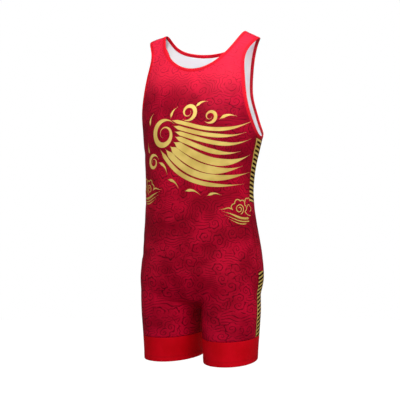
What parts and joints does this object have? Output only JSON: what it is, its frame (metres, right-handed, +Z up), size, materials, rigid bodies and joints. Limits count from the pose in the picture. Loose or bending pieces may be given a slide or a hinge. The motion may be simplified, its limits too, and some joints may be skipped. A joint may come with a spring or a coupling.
{
  "type": "compression bodysuit",
  "caption": "Sleeveless compression bodysuit with short legs, filled out as worn: front, back, bound neck and armholes, and leg bands.",
  "frame": {"origin": "between the wearer's shoulders, level with the middle of both straps where they rest on them", "axes": "+Z up the wearer's body, +X to the wearer's left, -Y out of the front"},
  "size_m": [0.3351, 0.2483, 0.8673],
  "materials": {
    "body_cloth": "smooth knitted compression cloth printed crimson with tone on tone scroll work and gold ornament, soft sheen, pale inside",
    "binding": "bright red folded elastic tape, matt",
    "band_cloth": "plain red knitted cloth, soft sheen"
  },
  "bodies": {
    "root": {"front": "body_cloth", "back": "body_cloth", "neck_binding": "binding", "armhole_binding_left": "binding", "armhole_binding_right": "binding", "leg_band_left": "band_cloth", "leg_band_right": "band_cloth"}
  },
  "joints": []
}
